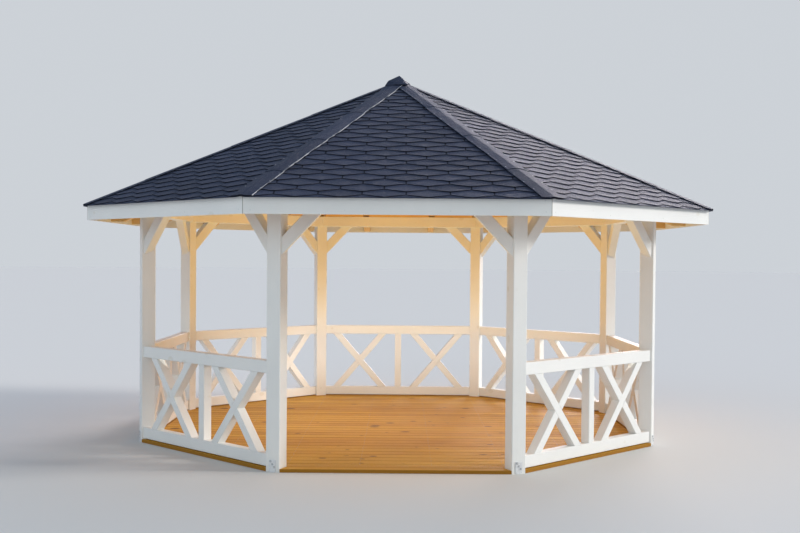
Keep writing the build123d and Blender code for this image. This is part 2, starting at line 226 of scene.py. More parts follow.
# ---- materials -----------------------------------------------------------------
class Mat:
    """Builds a node material a step at a time."""

    def __init__(self, name):
        self.m = bpy.data.materials.new(name)
        self.m.use_nodes = True
        self.t = self.m.node_tree
        self.t.nodes.clear()
        self.out = self.t.nodes.new("ShaderNodeOutputMaterial")
        self.b = self.t.nodes.new("ShaderNodeBsdfPrincipled")
        self.t.links.new(self.b.outputs[0], self.out.inputs[0])

    def link(self, value, socket):
        if isinstance(value, bpy.types.NodeSocket):
            self.t.links.new(value, socket)
        elif value is not None:
            socket.default_value = value

    def math(self, op, a, b=None, c=None, clamp=False):
        n = self.t.nodes.new("ShaderNodeMath")
        n.operation, n.use_clamp = op, clamp
        for i, x in enumerate((a, b, c)):
            if x is not None:
                self.link(x, n.inputs[i])
        return n.outputs[0]

    def vec(self, op, a, b=None, scale=None):
        n = self.t.nodes.new("ShaderNodeVectorMath")
        n.operation = op
        self.link(a, n.inputs[0])
        if b is not None:
            self.link(b, n.inputs[1])
        if scale is not None:
            self.link(scale, n.inputs["Scale"])
        return n.outputs["Value"] if op in ("LENGTH", "DOT_PRODUCT", "DISTANCE") else n.outputs[0]

    def split(self, v):
        n = self.t.nodes.new("ShaderNodeSeparateXYZ")
        self.link(v, n.inputs[0])
        return n.outputs[0], n.outputs[1], n.outputs[2]

    def join(self, x, y, z):
        n = self.t.nodes.new("ShaderNodeCombineXYZ")
        for i, q in enumerate((x, y, z)):
            self.link(q, n.inputs[i])
        return n.outputs[0]

    def noise(self, v, scale, detail=2.0, rough=0.5, distort=0.0, dims="3D", colour=False):
        n = self.t.nodes.new("ShaderNodeTexNoise")
        n.noise_dimensions = dims
        if v is not None:
            self.link(v, n.inputs["W" if dims == "1D" else "Vector"])
        n.inputs["Scale"].default_value = scale
        n.inputs["Detail"].default_value = detail
        n.inputs["Roughness"].default_value = rough
        n.inputs["Distortion"].default_value = distort
        return n.outputs["Color"] if colour else n.outputs[0]

    def white(self, w):
        n = self.t.nodes.new("ShaderNodeTexWhiteNoise")
        n.noise_dimensions = "1D"
        self.link(w, n.inputs["W"])
        return n.outputs["Value"]

    def voronoi(self, v, scale, feature="F1", randomness=1.0):
        n = self.t.nodes.new("ShaderNodeTexVoronoi")
        n.feature = feature
        self.link(v, n.inputs["Vector"])
        n.inputs["Scale"].default_value = scale
        n.inputs["Randomness"].default_value = randomness
        return n

    def ramp(self, fac, stops, ease="LINEAR"):
        n = self.t.nodes.new("ShaderNodeValToRGB")
        n.color_ramp.interpolation = ease
        els = n.color_ramp.elements
        while len(els) < len(stops):
            els.new(0.5)
        for e, (p, c) in zip(els, stops):
            e.position = p
            e.color = (c, c, c, 1) if isinstance(c, (int, float)) else (*c, 1)
        self.link(fac, n.inputs[0])
        return n.outputs[0]

    def span(self, x, a, b, lo=0.0, hi=1.0, smooth=True):
        n = self.t.nodes.new("ShaderNodeMapRange")
        n.interpolation_type = "SMOOTHSTEP" if smooth else "LINEAR"
        n.clamp = True
        self.link(x, n.inputs["Value"])
        for k, q in (("From Min", a), ("From Max", b), ("To Min", lo), ("To Max", hi)):
            n.inputs[k].default_value = q
        return n.outputs[0]

    def mix(self, fac, a, b, kind="MIX"):
        n = self.t.nodes.new("ShaderNodeMix")
        n.data_type = "RGBA"
        n.blend_type = kind
        n.clamp_factor = True
        self.link(fac, n.inputs[0])
        for q, s in ((a, n.inputs[6]), (b, n.inputs[7])):
            self.link((*q, 1) if isinstance(q, tuple) else q, s)
        return n.outputs[2]

    def pick(self, fac, a, b):
        """Vector a where fac is 0 and b where it is 1."""
        n = self.t.nodes.new("ShaderNodeMix")
        n.data_type = "VECTOR"
        self.link(fac, n.inputs[0])
        self.link(a, n.inputs[4])
        self.link(b, n.inputs[5])
        return n.outputs[1]

    def attr(self, name, kind="Vector"):
        n = self.t.nodes.new("ShaderNodeAttribute")
        n.attribute_name = name
        return n.outputs[kind]

    def coords(self):
        return self.t.nodes.new("ShaderNodeTexCoord").outputs["Object"]

    def bump(self, height, distance, strength=1.0, normal=None):
        n = self.t.nodes.new("ShaderNodeBump")
        n.inputs["Strength"].default_value = strength
        n.inputs["Distance"].default_value = distance
        self.link(height, n.inputs["Height"])
        if normal is not None:
            self.link(normal, n.inputs["Normal"])
        return n.outputs[0]

    def eighth(self, offset):
        """Object coordinates turned to the nearest of the eight azimuths, as (out, sideways, up), and its number."""
        x, y, z = self.split(self.coords())
        th = self.math("ARCTAN2", y, x)
        k = self.math("ROUND", self.math("DIVIDE", self.math("SUBTRACT", th, math.radians(offset)), math.pi / 4))
        ang = self.math("ADD", self.math("MULTIPLY", k, math.pi / 4), math.radians(offset))
        c, s = self.math("COSINE", ang), self.math("SINE", ang)
        a = self.math("ADD", self.math("MULTIPLY", x, c), self.math("MULTIPLY", y, s))
        t = self.math("SUBTRACT", self.math("MULTIPLY", y, c), self.math("MULTIPLY", x, s))
        return a, t, z, k


def wood(m, grain, seed, ring=1.0, knots=0.55, knot_size=0.02):
    """Figure of a sawn board: grain is (along, across, through) in metres. Returns rings, fibre, knot and dark knot rim, 0 to 1."""
    al, ac, th = m.split(grain)
    off = m.math("MULTIPLY", seed, 37.0)
    al = m.math("ADD", al, off)
    th = m.math("ADD", th, m.math("MULTIPLY", seed, 5.3))
    # knots: a few cells of a long grid hold one
    cell = m.voronoi(m.join(m.math("MULTIPLY", al, 5.6), m.math("MULTIPLY", ac, 9.0), m.math("MULTIPLY", th, 2.0)), 1.0)
    luck, big, _ = m.split(cell.outputs["Color"])
    has = m.math("GREATER_THAN", luck, 1.0 - knots)
    dist = cell.outputs["Distance"]
    wob = m.noise(m.join(m.math("MULTIPLY", al, 30.0), m.math("MULTIPLY", ac, 60.0), th), 1.0, 2.0)
    dist = m.math("ADD", dist, m.math("MULTIPLY", m.math("SUBTRACT", wob, 0.5), 0.05))
    dist = m.math("DIVIDE", dist, m.math("ADD", 0.45, m.math("MULTIPLY", m.math("MULTIPLY", big, big), 0.95)))
    r = knot_size * 9.0
    core = m.math("MULTIPLY", m.span(dist, r * 0.75, r, 1.0, 0.0), has)
    rim = m.math("MULTIPLY", m.math("MULTIPLY", m.span(dist, r * 0.62, r * 0.9), m.span(dist, r * 0.95, r * 1.5, 1.0, 0.0)), has)
    push = m.math("MULTIPLY", m.span(dist, r * 0.8, r * 5.0, 1.0, 0.0), has)
    low = m.noise(m.join(m.math("MULTIPLY", al, 0.9), m.math("MULTIPLY", ac, 5.0), m.math("MULTIPLY", th, 5.0)), 1.0, 3.0, 0.45)
    ph = m.math("ADD", m.math("MULTIPLY", ac, 95.0 * ring), m.math("MULTIPLY", low, 22.0 * ring))
    ph = m.math("ADD", ph, m.math("MULTIPLY", push, 9.0 * ring))
    ph = m.math("ADD", ph, m.math("MULTIPLY", th, 60.0 * ring))
    saw = m.math("FRACT", ph)
    rings = m.math("POWER", saw, 2.2)
    rings = m.math("MULTIPLY", rings, m.span(saw, 0.93, 1.0, 1.0, 0.0))
    fibre = m.noise(m.join(m.math("MULTIPLY", al, 9.0), m.math("MULTIPLY", ac, 420.0), m.math("MULTIPLY", th, 420.0)), 1.0, 3.0, 0.6)
    return rings, fibre, core, rim


def frame_grain(m, kind):
    """(grain, seed) for a piece of the frame that keeps its own shape."""
    if kind == "post":
        a, t, z, k = m.eighth(22.5)
        side = m.math("GREATER_THAN", m.math("ABSOLUTE", t), POST / 2 - 0.002)
        da = m.math("SUBTRACT", a, POST_R)
        g = m.pick(side, m.join(z, t, da), m.join(z, da, t))
        return g, m.white(m.math("ADD", k, 3.0)), z
    if kind in ("beam", "fascia", "eaves"):
        a, t, z, k = m.eighth(0.0)
        ref, top = {"beam": (POST_A, BEAM_Z), "fascia": (FASCIA_A, FASCIA_Z0), "eaves": (POST_A, BEAM_Z)}[kind]
        da = m.math("SUBTRACT", a, ref)
        dz = m.math("SUBTRACT", z, top)
        if kind == "beam":
            flat = m.math("LESS_THAN", z, BEAM_Z + 0.002)
            return m.pick(flat, m.join(t, dz, da), m.join(t, da, dz)), m.white(m.math("ADD", k, 17.0)), z
        return m.join(t, dz, da), m.white(m.math("ADD", k, 31.0)), z
    if kind == "brace":
        a, t, z, k = m.eighth(0.0)
        n = math.hypot(0.309, 0.328)
        dx, dz = -0.309 / n, 0.328 / n
        s = m.math("ABSOLUTE", t)
        al = m.math("ADD", m.math("MULTIPLY", s, dx), m.math("MULTIPLY", z, dz))
        ac = m.math("SUBTRACT", m.math("MULTIPLY", s, dz), m.math("MULTIPLY", z, dx))
        sg = m.math("MULTIPLY", m.math("GREATER_THAN", t, 0.0), 9.0)
        return m.join(al, ac, m.math("SUBTRACT", a, PANEL_A)), m.white(m.math("ADD", k, m.math("ADD", sg, 50.0))), z
    if kind == "railing":
        a, t, z, k = m.eighth(0.0)
        da = m.math("SUBTRACT", a, PANEL_A)
        s = m.math("ABSOLUTE", t)
        sgn = m.math("GREATER_THAN", t, 0.0)
        top = m.math("GREATER_THAN", z, 0.7628)
        low = m.math("LESS_THAN", z, 0.1342)
        rail = m.math("MAXIMUM", top, low)
        mid = m.math("LESS_THAN", s, 0.0377)
        face_mid = SIDE / 2 - POST / 2 / COS + 0.022 * TAN
        cs, cz = (0.0375 + face_mid) / 2, (0.134 + 0.763) / 2
        L = math.hypot(0.536, 0.6284)
        ux, uz = 0.536 / L, 0.6284 / L
        ps, pz = m.math("SUBTRACT", s, cs), m.math("SUBTRACT", z, cz)
        d1 = m.math("ADD", m.math("MULTIPLY", ps, -uz), m.math("MULTIPLY", pz, ux))
        d2 = m.math("ADD", m.math("MULTIPLY", ps, uz), m.math("MULTIPLY", pz, ux))
        l1 = m.math("ADD", m.math("MULTIPLY", ps, ux), m.math("MULTIPLY", pz, uz))
        l2 = m.math("ADD", m.math("MULTIPLY", ps, -ux), m.math("MULTIPLY", pz, uz))
        whole = m.math("LESS_THAN", m.math("ABSOLUTE", d1), 0.0352)
        g = m.pick(whole, m.join(l2, d2, da), m.join(l1, d1, da))
        g = m.pick(mid, g, m.join(z, t, da))
        g = m.pick(rail, g, m.join(t, z, da))
        code = m.math("ADD", m.math("MULTIPLY", whole, 2.0), m.math("MULTIPLY", sgn, 5.0))
        code = m.math("MULTIPLY", code, m.math("SUBTRACT", 1.0, m.math("MAXIMUM", rail, mid)))
        code = m.math("ADD", code, m.math("MULTIPLY", top, 11.0))
        code = m.math("ADD", code, m.math("MULTIPLY", low, 13.0))
        seed = m.white(m.math("ADD", m.math("MULTIPLY", k, 29.0), m.math("ADD", code, 90.5)))
        return g, seed, z
    if kind in ("hip", "jack"):
        a, t, z, k = m.eighth(22.5 if kind == "hip" else 0.0)
        sl = HIP_SLOPE if kind == "hip" else SLOPE
        c, s = math.cos(math.atan(sl)), math.sin(math.atan(sl))
        al = m.math("SUBTRACT", m.math("MULTIPLY", a, c), m.math("MULTIPLY", z, s))
        ac = m.math("ADD", m.math("MULTIPLY", a, s), m.math("MULTIPLY", z, c))
        sg = m.math("MULTIPLY", m.math("GREATER_THAN", t, 0.0), 9.0 if kind == "jack" else 0.0)
        return m.join(al, ac, t), m.white(m.math("ADD", k, m.math("ADD", sg, 70.0))), z
    x, y, z = m.split(m.coords())
    return m.join(z, x, y), m.white(m.math("FLOOR", z)), z


def own_grain(m):
    z = m.split(m.coords())[2]
    return m.attr("grain"), m.attr("tone", "Fac"), z


def painted(kind):
    """White painted softwood: the grain and a few knots just show through."""
    m = Mat("white_paint_" + kind)
    grain, seed, z = frame_grain(m, kind)
    rings, fibre, core, rim = wood(m, grain, seed, ring=0.8, knots=0.42, knot_size=0.015)
    patch = m.noise(grain, 2.2, 3.0, 0.5)
    base = m.mix(m.span(patch, 0.3, 0.7), (0.835, 0.838, 0.822), (0.800, 0.805, 0.792))
    base = m.mix(m.math("MULTIPLY", rings, 0.16), base, (0.735, 0.735, 0.715))
    base = m.mix(m.math("MULTIPLY", m.span(fibre, 0.52, 0.72), 0.10), base, (0.69, 0.69, 0.67))
    base = m.mix(m.math("MULTIPLY", core, 0.24), base, (0.62, 0.57, 0.44))
    base = m.mix(m.math("MULTIPLY", rim, 0.18), base, (0.58, 0.53, 0.40))
    # splashes and dust low down
    dust = m.math("MULTIPLY", m.span(z, 0.0, 0.075, 1.0, 0.0), m.span(m.noise(m.coords(), 9.0, 5.0, 0.6), 0.38, 0.75))
    base = m.mix(m.math("MULTIPLY", dust, 0.22), base, (0.46, 0.43, 0.35))
    if kind == "fascia":
        # shadow line where two boards meet
        al, ac, th = m.split(grain)
        gap = m.math("SUBTRACT", m.math("MULTIPLY", m.math("ADD", th, FASCIA_A), TAN), m.math("ABSOLUTE", al))
        base = m.mix(m.span(gap, 0.0012, 0.0042, 0.86, 0.0), base, (0.16, 0.15, 0.12))
    m.link(base, m.b.inputs["Base Color"])
    m.link(m.span(m.noise(grain, 38.0, 3.0, 0.6), 0.25, 0.75, 0.40, 0.56), m.b.inputs["Roughness"])
    m.b.inputs["Specular IOR Level"].default_value = 0.42
    brush = m.noise(m.vec("MULTIPLY", grain, (6.0, 160.0, 160.0)), 1.0, 2.0, 0.5)
    h = m.math("ADD", m.math("MULTIPLY", rings, -0.5), m.math("MULTIPLY", brush, 0.8))
    h = m.math("ADD", h, m.math("MULTIPLY", fibre, 0.6))
    h = m.math("ADD", h, m.math("MULTIPLY", core, -0.5))
    m.link(m.bump(h, 0.0007, 0.7), m.b.inputs["Normal"])
    return m.m


def spruce(kind):
    """Clear-finished spruce of the roof's inside."""
    m = Mat("spruce_" + kind)
    grain, seed, z = own_grain(m) if kind == "boards" else frame_grain(m, kind)
    rings, fibre, core, rim = wood(m, grain, seed, ring=1.1, knots=0.42, knot_size=0.017)
    base = m.mix(m.span(m.noise(grain, 1.7, 2.0), 0.3, 0.7), (0.82, 0.54, 0.20), (0.74, 0.45, 0.145))
    base = m.mix(m.span(seed, 0.0, 1.0, 0.0, 0.55, False), base, (0.87, 0.62, 0.27))
    base = m.mix(m.math("MULTIPLY", rings, 0.60), base, (0.52, 0.28, 0.09))
    base = m.mix(m.math("MULTIPLY", m.span(fibre, 0.5, 0.75), 0.25), base, (0.58, 0.34, 0.13))
    base = m.mix(m.math("MULTIPLY", core, 0.62), base, (0.36, 0.17, 0.055))
    base = m.mix(m.math("MULTIPLY", rim, 0.55), base, (0.24, 0.10, 0.028))
    m.link(base, m.b.inputs["Base Color"])
    m.link(m.span(fibre, 0.3, 0.7, 0.48, 0.62), m.b.inputs["Roughness"])
    m.b.inputs["Specular IOR Level"].default_value = 0.38
    h = m.math("ADD", m.math("MULTIPLY", rings, -0.6), m.math("MULTIPLY", fibre, 0.7))
    m.link(m.bump(h, 0.0006, 0.7), m.b.inputs["Normal"])
    return m.m


def decking():
    """Oiled honey-coloured boards, each with its own tone."""
    m = Mat("oiled_deck")
    grain, seed, z = own_grain(m)
    rings, fibre, core, rim = wood(m, grain, seed, ring=0.55, knots=0.36, knot_size=0.019)
    base = m.mix(m.span(m.noise(grain, 1.9, 3.0), 0.3, 0.7), (0.63, 0.335, 0.036), (0.52, 0.258, 0.022))
    base = m.mix(m.span(seed, 0.0, 1.0, 0.0, 0.85, False), base, (0.70, 0.412, 0.046))
    base = m.mix(m.math("MULTIPLY", rings, 0.40), base, (0.42, 0.19, 0.035))
    base = m.mix(m.math("MULTIPLY", m.span(fibre, 0.5, 0.75), 0.35), base, (0.36, 0.16, 0.05))
    base = m.mix(m.math("MULTIPLY", core, 0.85), base, (0.12, 0.045, 0.015))
    base = m.mix(m.math("MULTIPLY", rim, 0.6), base, (0.10, 0.035, 0.012))
    worn = m.span(m.noise(m.coords(), 1.3, 4.0, 0.6), 0.5, 0.75)
    base = m.mix(m.math("MULTIPLY", worn, 0.15), base, (0.64, 0.41, 0.14))
    m.link(base, m.b.inputs["Base Color"])
    m.link(m.math("ADD", m.span(fibre, 0.3, 0.7, 0.40, 0.56), m.math("MULTIPLY", worn, 0.10)), m.b.inputs["Roughness"])
    m.b.inputs["Specular IOR Level"].default_value = 0.07
    h = m.math("ADD", m.math("MULTIPLY", rings, -0.7), m.math("MULTIPLY", fibre, 0.8))
    m.link(m.bump(h, 0.0008, 0.8), m.b.inputs["Normal"])
    return m.m


def deck_sides_painted_shade():
    """Sides and rounded edges of the deck boards, darker than their tops: the darker colour is painted shade."""
    m = Mat("deck_sides_painted_shade")
    grain, seed, z = own_grain(m)
    n = m.noise(m.vec("MULTIPLY", grain, (5.0, 70.0, 70.0)), 1.0, 3.0, 0.6)
    m.link(m.mix(n, (0.225, 0.098, 0.010), (0.44, 0.208, 0.024)), m.b.inputs["Base Color"])
    m.link(m.span(n, 0.3, 0.7, 0.5, 0.68), m.b.inputs["Roughness"])
    m.b.inputs["Specular IOR Level"].default_value = 0.12
    m.link(m.bump(n, 0.0006, 0.6), m.b.inputs["Normal"])
    return m.m


def bitumen(kind):
    """Anthracite mineral granules on bitumen."""
    m = Mat("granules_" + kind)
    tone = m.attr("tone", "Fac")
    co = m.coords()
    grit = m.voronoi(co, 540.0)
    g1 = m.split(grit.outputs["Color"])[0]
    g2 = m.noise(co, 760.0, 2.0, 0.6)
    base = m.mix(tone, (0.010, 0.016, 0.042), (0.031, 0.042, 0.088))
    base = m.mix(m.span(g1, 0.0, 0.35, 0.55, 0.0, False), base, (0.012, 0.014, 0.020))
    base = m.mix(m.span(g1, 0.74, 1.0, 0.0, 0.50, False), base, (0.105, 0.118, 0.165))
    cloud = m.noise(co, 3.2, 4.0, 0.6)
    base = m.mix(m.math("MULTIPLY", m.span(cloud, 0.45, 0.75), 0.22), base, (0.070, 0.074, 0.096))
    scuff = m.noise(m.vec("MULTIPLY", co, (9.0, 9.0, 9.0)), 1.0, 3.0, 0.7)
    base = m.mix(m.math("MULTIPLY", m.span(scuff, 0.62, 0.78), 0.16), base, (0.105, 0.110, 0.130))
    m.link(base, m.b.inputs["Base Color"])
    m.link(m.span(g2, 0.3, 0.7, 0.56, 0.72), m.b.inputs["Roughness"])
    m.b.inputs["Specular IOR Level"].default_value = 0.30
    h = m.math("ADD", m.math("MULTIPLY", g1, 0.8), m.math("MULTIPLY", g2, 0.7))
    m.link(m.bump(h, 0.0012, 0.9), m.b.inputs["Normal"])
    return m.m


def butt():
    """Black bitumen of the shingles' cut edges; it is also painted shade in the slits and under the hood."""
    m = Mat("cut_bitumen_and_painted_shade")
    c = m.noise(m.coords(), 160.0, 3.0, 0.6)
    m.link(m.mix(c, (0.008, 0.009, 0.013), (0.024, 0.026, 0.033)), m.b.inputs["Base Color"])
    m.link(m.span(c, 0.3, 0.7, 0.88, 0.98), m.b.inputs["Roughness"])
    m.b.inputs["Specular IOR Level"].default_value = 0.04
    m.link(m.bump(c, 0.0008, 0.7), m.b.inputs["Normal"])
    return m.m


def lit_edge_highlight():
    """Pale thin bead along the edge of one hip strip: a painted highlight where that edge catches the light."""
    m = Mat("painted_highlight_edge")
    c = m.noise(m.coords(), 55.0, 3.0, 0.6)
    d = m.noise(m.coords(), 7.0, 2.0, 0.6)
    base = m.mix(m.span(c, 0.35, 0.7), (0.47, 0.48, 0.51), (0.30, 0.31, 0.34))
    base = m.mix(m.span(d, 0.50, 0.66, 0.0, 0.85), base, (0.10, 0.105, 0.125))
    m.link(base, m.b.inputs["Base Color"])
    m.link(m.span(c, 0.3, 0.7, 0.45, 0.65), m.b.inputs["Roughness"])
    m.link(m.bump(c, 0.0005, 0.5), m.b.inputs["Normal"])
    return m.m


def zinc(name="galvanised", dark=0.0, metal=0.35):
    """Hot-dip galvanised steel with a faint spangle."""
    m = Mat(name)
    v = m.voronoi(m.coords(), 150.0)
    s = m.split(v.outputs["Color"])[0]
    n = m.noise(m.coords(), 40.0, 4.0, 0.6)
    base = m.mix(s, (0.70 - dark, 0.72 - dark, 0.745 - dark), (0.80 - dark, 0.815 - dark, 0.835 - dark))
    base = m.mix(m.math("MULTIPLY", m.span(n, 0.5, 0.75), 0.35), base, (0.56 - dark, 0.57 - dark, 0.575 - dark))
    m.link(base, m.b.inputs["Base Color"])
    m.b.inputs["Metallic"].default_value = metal
    m.link(m.math("ADD", m.span(n, 0.3, 0.7, 0.36, 0.52), m.math("MULTIPLY", s, 0.06)), m.b.inputs["Roughness"])
    m.link(m.bump(n, 0.0004, 0.5), m.b.inputs["Normal"])
    return m.m


def studio_floor():
    m = Mat("studio_floor")
    m.b.inputs["Base Color"].default_value = (0.655, 0.655, 0.640, 1)
    m.b.inputs["Roughness"].default_value = 1.0
    m.b.inputs["Specular IOR Level"].default_value = 0.0
    return m.m


def finish_node(name, mat):
    ob = nodes[name]
    if not ob.material_slots:
        ob.data.materials.append(mat)
    for s in ob.material_slots:
        s.material = mat


PAINT = {k: painted(k) for k in ("post", "beam", "fascia", "brace", "railing")}
SPRUCE = {k: spruce(k) for k in ("hip", "jack", "eaves", "block", "boards")}
ZINC, SCREW, DULL = zinc(), zinc("screw_steel", 0.18, 0.7), zinc("dull_nails", 0.26, 0.35)
GRIT, BLACK_CUT_AND_SHADE, EDGE_HIGHLIGHT = bitumen("roof"), butt(), lit_edge_highlight()
for name, _ in POSTS:
    finish_node("post_" + name, PAINT["post"])
for name, _ in BAYS:
    finish_node("ring_beam_" + name, PAINT["beam"])
for name, _ in BAYS[1:]:
    finish_node("railing_" + name, PAINT["railing"])
finish_node("knee_braces", PAINT["brace"])
finish_node("fascia_boards", PAINT["fascia"])
finish_node("hip_rafters", SPRUCE["hip"])
finish_node("jack_rafters", SPRUCE["jack"])
finish_node("eaves_boards", SPRUCE["eaves"])
finish_node("king_block", SPRUCE["block"])
finish_node("foot_plates", ZINC)

# ---- shingles: courses of hexagonal tabs ---------------------------------------------
PITCH, COURSE, FIRST, VEE, SLIT = 0.325, 0.1110, 0.0020, 0.048, 0.0105
BUTT_N, STEP_N = 0.0110, 0.0074
half_tab = (PITCH - SLIT) / 2
half_profile = [(0.0, 0.0), (0.007, 0.0006), (0.014, 0.0028), (0.050, 0.0145), (0.100, 0.0308), (0.144, 0.0451),
                (0.150, 0.0469), (half_tab - 0.0025, VEE), (half_tab, VEE + 0.0025)]
profile = [(-x, y) for x, y in half_profile[:0:-1]] + half_profile
S0_A = AE - 0.0052
TIP_R = 3.000                                # where the corners of the roof are trimmed


def tab(pile, put, cu, cs, r):
    """One tab: its rounded butt, its face up to the next course and the part that lies under the courses above."""
    tone = min(1.0, max(0.0, 0.42 + r.gauss(0, 0.17)))
    lift, tilt = r.uniform(0, 0.0006), r.uniform(-0.0004, 0.0004)
    curl = [r.uniform(-0.0005, 0.0005) for _ in profile]
    du, ds = r.uniform(-0.001, 0.001), r.uniform(-0.0015, 0.0015)
    rows = []
    k = len(profile)
    for i, (x, y) in enumerate(profile):
        n0 = BUTT_N + lift + tilt * x / half_tab + curl[i] * 0.5 - 0.0006
        u, s = cu + x + du, cs + y + ds
        frac = y / COURSE
        top = n0 - (n0 - 0.0031) * frac
        rows.append([(u, s + 0.0012, top), (u, s, top - 0.0011), (u, s + 0.0002, max(0.0019, top - STEP_N + 0.0003)),
                     (u, cs + ds + COURSE + 0.004, 0.0029), (u, cs + ds + COURSE + VEE + 0.014, 0.0024),
                     (u, cs + ds + COURSE + VEE + 0.014, 0.0014), (u, cs + ds + COURSE, 0.0016)])
    m = len(rows[0])
    verts = [p for row in rows for p in row]
    faces, mats = [], []
    order = [(0, 1, 1), (1, 2, 1), (2, 6, 1), (6, 5, 1), (5, 4, 1), (4, 3, 0), (3, 0, 0)]
    for i in range(k - 1):
        a, b = i * m, (i + 1) * m
        for p, q, mt in order:
            faces.append([a + p, a + q, b + q, b + p])
            mats.append(mt)
    for base, flip in ((0, False), ((k - 1) * m, True)):
        ring = [base + q for q in (0, 3, 4, 5, 6, 2, 1)]
        faces.append(ring if not flip else ring[::-1])
        mats.append(1)
    pile.add([put(*v) for v in verts], faces, verts, tone, mats=mats)
    # black strip in the slit on the tab's right: painted shade in the slit, with the bitumen that shows there
    u, w = cu + PITCH / 2, SLIT / 2 + 0.0012
    verts = [(u + a, cs + q, n) for q, n in ((VEE + 0.004, 0.0052), (COURSE + 0.006, 0.0034)) for a, n in ((-w, n), (w, n), (w, n - 0.0012), (-w, n - 0.0012))]
    pile.add([put(*v) for v in verts], [[0, 1, 2, 3], [7, 6, 5, 4], [0, 4, 5, 1], [1, 5, 6, 2], [2, 6, 7, 3], [3, 7, 4, 0]], verts, 0.5, 1)


def cut_at_hips(az):
    """Cuts a facet's mesh at its two hips, trims its two corners and closes each cut."""
    def cut(me):
        bm = bmesh.new()
        bm.from_mesh(me)
        for sgn, trim in ((1, False), (-1, False), (1, True), (-1, True)):
            h = math.radians(az) + sgn * HALF
            nrm = Vector((-math.sin(h), math.cos(h), 0)) * sgn
            co = -nrm * 0.0003
            if trim:
                nrm = Vector((math.cos(h), math.sin(h), 0))
                co = nrm * (TIP_R - 0.0015)
            geom = bm.verts[:] + bm.edges[:] + bm.faces[:]
            got = bmesh.ops.bisect_plane(bm, geom=geom, dist=1e-6, plane_co=co, plane_no=nrm, clear_outer=True)
            edges = [e for e in got["geom_cut"] if isinstance(e, bmesh.types.BMEdge) and e.is_boundary]
            new = bmesh.ops.holes_fill(bm, edges=edges, sides=0)["faces"]
            for f in new:
                f.material_index = 1
        bmesh.ops.dissolve_degenerate(bm, dist=1e-6, edges=bm.edges[:])
        bmesh.ops.recalc_face_normals(bm, faces=bm.faces[:])
        bm.to_mesh(me)
        bm.free()
        return me
    return cut


for bay, (name, az) in enumerate(BAYS):
    r = random.Random(100 + bay)
    pile = Pile()
    put = facet(az, Z_BOARD, S0_A)
    slope_len = S0_A / CPHI
    # felt under the tabs, and the starter strip along the eave
    prism(pile, [(-1.2, 0.0), (1.2, 0.0), (1.2, slope_len), (-1.2, slope_len)], 0.0, 0.0016, put, tone=0.12)
    for j in range(-4, 5):
        u0 = (j - 0.5) * 0.98 + 0.11 * bay
        prism(pile, [(u0, 0.0015), (u0 + 0.976, 0.0015), (u0 + 0.976, 0.115), (u0, 0.115)], 0.0017, 0.0034, put, top=0.0006,
              tone=0.30 + r.uniform(-0.1, 0.1), steps=1)
    shift = 0.065 if name == "front" else r.uniform(-0.16, 0.16)
    courses = int((slope_len - FIRST) / COURSE) + 1
    for c in range(courses):
        cs = FIRST + c * COURSE
        half = (slope_len - cs) * CPHI * TAN
        base = shift + (PITCH / 2 if c % 2 == 0 else 0.0)
        drift = r.uniform(-0.0015, 0.0015)
        lo = int(math.floor((-half - base) / PITCH)) - 1
        for j in range(lo, lo + int(2 * half / PITCH) + 5):
            cu = base + j * PITCH
            if cu - PITCH / 2 > half or cu + PITCH / 2 < -half:
                continue
            tab(pile, put, cu + drift, cs, r)
    pile.make("shingle_tabs_" + name, [GRIT, BLACK_CUT_AND_SHADE], ["shingles_" + name], "bitumen_shingle", cut_at_hips(az))


# ---- strips folded over the hips ----------------------------------------------------------
def soft_abs(t, r=0.010):
    return math.sqrt(t * t + r * r)


